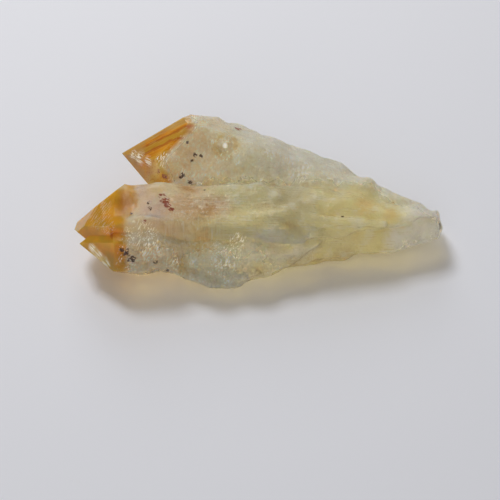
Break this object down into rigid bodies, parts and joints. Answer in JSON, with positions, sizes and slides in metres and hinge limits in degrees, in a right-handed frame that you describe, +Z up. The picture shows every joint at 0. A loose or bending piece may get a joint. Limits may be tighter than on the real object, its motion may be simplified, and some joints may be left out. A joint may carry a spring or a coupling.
{
  "type": "citrine crystal point",
  "caption": "Amber quartz crystals grown side by side as one piece, with clear faceted points at one end and rough milky flanks that taper to a broken root.",
  "frame": {"origin": "centre of the piece's box, at the height of the table that it rests on", "axes": "+X from the clear points to the broken root, +Y from the lower crystal to the upper one, +Z up from the table"},
  "size_m": [0.0612, 0.0312, 0.0172],
  "materials": {
    "crystal": "clear amber points, milky sugary flanks"
  },
  "bodies": {
    "root": {"crystal_point": "crystal"}
  },
  "joints": []
}
